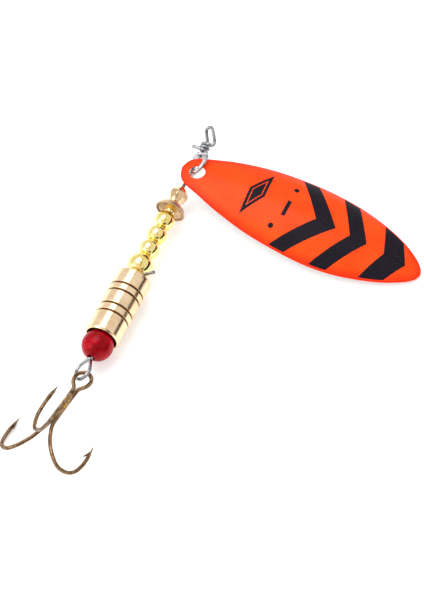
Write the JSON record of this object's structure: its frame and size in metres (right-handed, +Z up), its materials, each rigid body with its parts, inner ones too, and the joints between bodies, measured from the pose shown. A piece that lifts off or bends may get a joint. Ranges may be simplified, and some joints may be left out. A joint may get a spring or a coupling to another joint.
{
  "type": "inline spinner",
  "caption": "Inline spinner lure: wire shaft with beads and a turned body, a cupped blade on a clevis, and a treble hook.",
  "frame": {"origin": "centre of the line-tie eye, on the shaft's axis", "axes": "+X along the shaft towards the line tie, +Z up from the surface the lure lies on, blade out to -Y"},
  "size_m": [0.0835, 0.057, 0.0162],
  "materials": {
    "steel_wire": "bright drawn stainless wire",
    "clevis_steel": "polished steel",
    "blade_paint": "glossy fluorescent orange-red lacquer",
    "faceted_brass": "cut and polished brass",
    "cup_metal": "pale plated brass",
    "gold_bead": "mirror-polished gold plate",
    "body_brass": "fine-turned pale brass",
    "red_bead": "glossy deep crimson",
    "hook_bronze": "bronzed steel",
    "braze": "braze metal"
  },
  "bodies": {
    "shaft": {"shaft_wire": "steel_wire"},
    "clevis": {"clevis": "clevis_steel"},
    "blade": {"blade": "blade_paint"},
    "faceted_bead": {"faceted_bead": "faceted_brass"},
    "cup": {"cup": "cup_metal"},
    "cup_collar": {"cup_collar": "gold_bead"},
    "small_bead_1": {"small_bead_1": "gold_bead"},
    "small_bead_2": {"small_bead_2": "gold_bead"},
    "small_bead_3": {"small_bead_3": "gold_bead"},
    "large_bead": {"large_bead": "gold_bead"},
    "brass_body": {"brass_body": "body_brass"},
    "red_bead": {"red_bead": "red_bead"},
    "treble": {"hook_pair": "hook_bronze", "hook_single": "hook_bronze", "hook_braze": "braze"}
  },
  "joints": [
    {"name": "clevis_spin", "type": "hinge", "parent": "shaft", "child": "clevis", "pos_m": [-0.00655, 0, 0], "axis": [1, 0, 0], "continuous": true},
    {"name": "blade_swing", "type": "hinge", "parent": "clevis", "child": "blade", "pos_m": [-0.00875, -0.0015, 0.0016], "axis": [0.002, 0.1116, 0.9938], "range_deg": [-10, 15]},
    {"name": "faceted_bead_spin", "type": "hinge", "parent": "shaft", "child": "faceted_bead", "pos_m": [-0.0143, 0, 0], "axis": [1, 0, 0], "continuous": true},
    {"name": "cup_spin", "type": "hinge", "parent": "shaft", "child": "cup", "pos_m": [-0.01725, 0, 0], "axis": [1, 0, 0], "continuous": true},
    {"name": "cup_collar_spin", "type": "hinge", "parent": "shaft", "child": "cup_collar", "pos_m": [-0.01765, 0, 0], "axis": [1, 0, 0], "continuous": true},
    {"name": "small_bead_1_spin", "type": "hinge", "parent": "shaft", "child": "small_bead_1", "pos_m": [-0.0205, 0, 0], "axis": [1, 0, 0], "continuous": true},
    {"name": "small_bead_2_spin", "type": "hinge", "parent": "shaft", "child": "small_bead_2", "pos_m": [-0.02403, 0, 0], "axis": [1, 0, 0], "continuous": true},
    {"name": "small_bead_3_spin", "type": "hinge", "parent": "shaft", "child": "small_bead_3", "pos_m": [-0.02756, 0, 0], "axis": [1, 0, 0], "continuous": true},
    {"name": "large_bead_spin", "type": "hinge", "parent": "shaft", "child": "large_bead", "pos_m": [-0.03167, 0, 0], "axis": [1, 0, 0], "continuous": true},
    {"name": "brass_body_spin", "type": "hinge", "parent": "shaft", "child": "brass_body", "pos_m": [-0.04237, -0.00026, 0.00026], "axis": [1, 0, 0], "continuous": true},
    {"name": "red_bead_spin", "type": "hinge", "parent": "shaft", "child": "red_bead", "pos_m": [-0.0515, -0.00026, 0.00026], "axis": [1, 0, 0], "continuous": true},
    {"name": "treble_swing", "type": "hinge", "parent": "shaft", "child": "treble", "pos_m": [-0.06005, -0.00046, 0.00046], "axis": [0, -0.7071, 0.7071], "range_deg": [-25, 12]}
  ]
}
